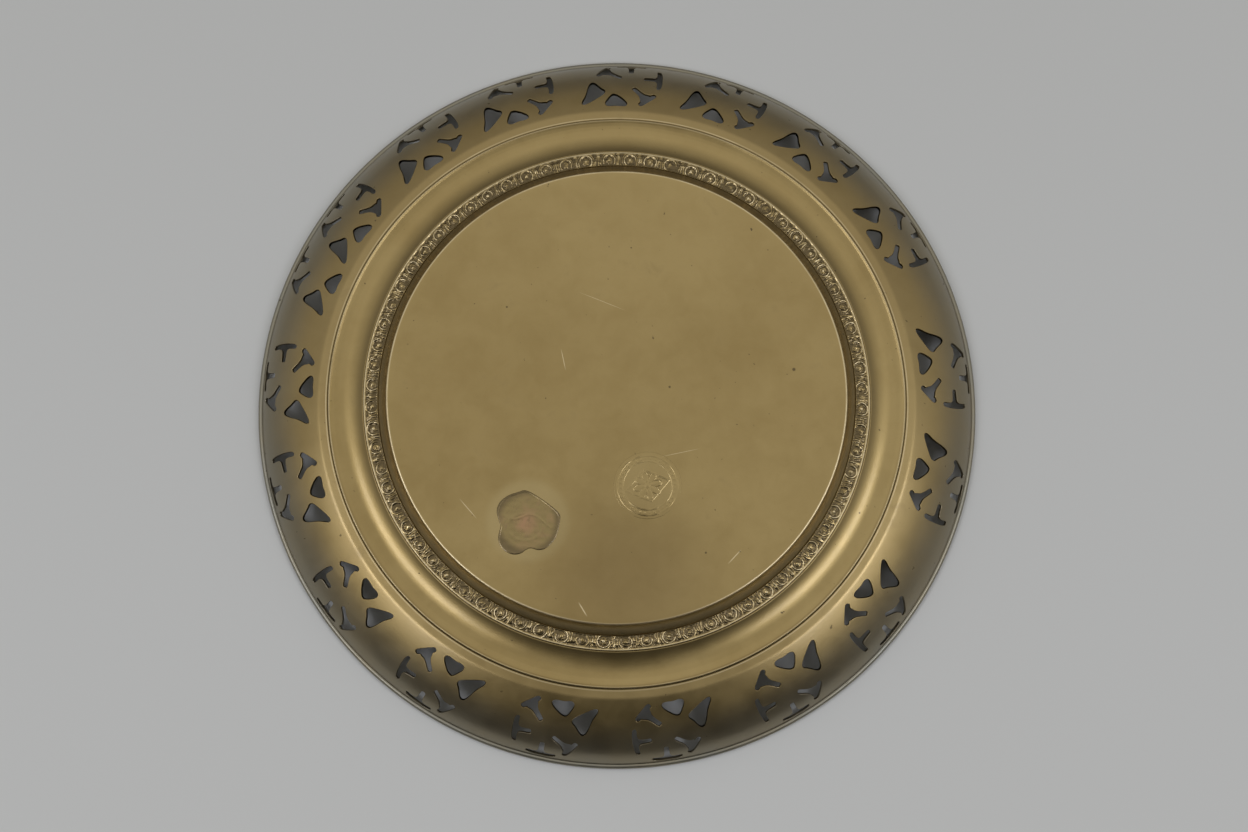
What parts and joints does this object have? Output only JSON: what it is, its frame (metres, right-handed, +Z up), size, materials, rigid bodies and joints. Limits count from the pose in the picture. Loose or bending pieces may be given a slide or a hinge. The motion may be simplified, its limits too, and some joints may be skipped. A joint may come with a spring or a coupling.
{
  "type": "communion plate",
  "caption": "Round brass communion plate, lying face down, with a flat foot, an ornamental band and a pierced rim with a wired edge.",
  "frame": {"origin": "centre of the bounding box's bottom: on the plate's axis, in the plane of the table that the edge wire lies on", "axes": "+Z up along the plate's axis, out of the foot's flat face, because the plate lies face down; +X towards the ornament's zero angle, +Y away from a viewer at the front"},
  "size_m": [0.254, 0.254, 0.0273],
  "materials": {
    "spun_brass": "satin, aged, darker near the ornamental band",
    "relief_brass": "worn bright on the relief, dark in its hollows",
    "rim_brass": "satin, aged",
    "wire_brass": "rubbed bright by handling",
    "soft_solder": "dull grey"
  },
  "bodies": {
    "root": {"base_dish": "spun_brass", "embossed_band": "relief_brass", "pierced_rim": "rim_brass", "seam_solder": "soft_solder", "edge_wire": "wire_brass"}
  },
  "joints": []
}
